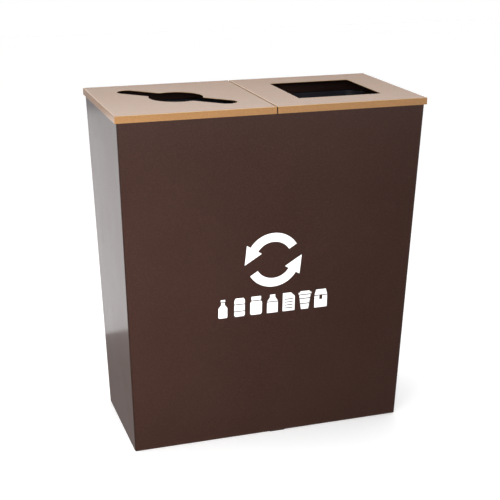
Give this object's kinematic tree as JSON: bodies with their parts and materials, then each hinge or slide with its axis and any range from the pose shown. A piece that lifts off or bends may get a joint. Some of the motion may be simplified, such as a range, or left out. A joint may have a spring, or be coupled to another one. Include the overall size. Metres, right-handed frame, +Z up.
{
  "type": "recycling bin station",
  "caption": "Free-standing tapered steel bin station: hinged lids, one with a round and slotted opening for recyclables, one with a square opening for waste, over lift-out liners.",
  "frame": {"origin": "on the floor, under the middle of the station", "axes": "+X to the right seen from the front, +Y to the rear where the hinges are, +Z up"},
  "size_m": [0.684, 0.3443, 0.762],
  "materials": {
    "shell_paint": "dark brown hammertone paint, satin",
    "lid_paint": "champagne hammertone paint, satin",
    "liner_plastic": "moulded, lightly textured",
    "hinge_steel": "zinc plated",
    "pad_rubber": "matt",
    "decal_vinyl": "self-adhesive vinyl, matt"
  },
  "bodies": {
    "root": {"front_panel": "shell_paint", "rear_panel": "shell_paint", "left_side_panel": "shell_paint", "right_side_panel": "shell_paint", "base_pan": "shell_paint", "centre_brace": "shell_paint", "arrow_loop_decal": "decal_vinyl", "icon_decals": "decal_vinyl", "left_hinge_body_leaf": "shell_paint", "left_hinge_pin": "hinge_steel", "left_hinge_body_rivets": "shell_paint", "right_hinge_body_leaf": "shell_paint", "right_hinge_pin": "hinge_steel", "right_hinge_body_rivets": "shell_paint", "foot_pad_front_left": "pad_rubber", "foot_pad_front_middle": "pad_rubber", "foot_pad_front_right": "pad_rubber", "foot_pad_rear_left": "pad_rubber", "foot_pad_rear_middle": "pad_rubber", "foot_pad_rear_right": "pad_rubber", "bumper_left_outer": "pad_rubber", "bumper_left_inner": "pad_rubber", "bumper_right_inner": "pad_rubber", "bumper_right_outer": "pad_rubber"},
    "left_lid": {"left_lid": "lid_paint", "left_hinge_lid_leaf": "shell_paint", "left_hinge_lid_rivets": "lid_paint"},
    "right_lid": {"right_lid": "lid_paint", "right_hinge_lid_leaf": "shell_paint", "right_hinge_lid_rivets": "lid_paint"},
    "left_liner": {"left_liner": "liner_plastic"},
    "right_liner": {"right_liner": "liner_plastic"}
  },
  "joints": [
    {"name": "left_lid_hinge", "type": "hinge", "parent": "root", "child": "left_lid", "pos_m": [-0.17175, 0.16805, 0.7462], "axis": [-1, 0, 0], "range_deg": [0, 105]},
    {"name": "right_lid_hinge", "type": "hinge", "parent": "root", "child": "right_lid", "pos_m": [0.17175, 0.16805, 0.7462], "axis": [-1, 0, 0], "range_deg": [0, 105]},
    {"name": "left_liner_lift", "type": "slide", "parent": "root", "child": "left_liner", "axis": [0, 0, 1], "range_m": [0, 0.03]},
    {"name": "right_liner_lift", "type": "slide", "parent": "root", "child": "right_liner", "axis": [0, 0, 1], "range_m": [0, 0.03]}
  ]
}
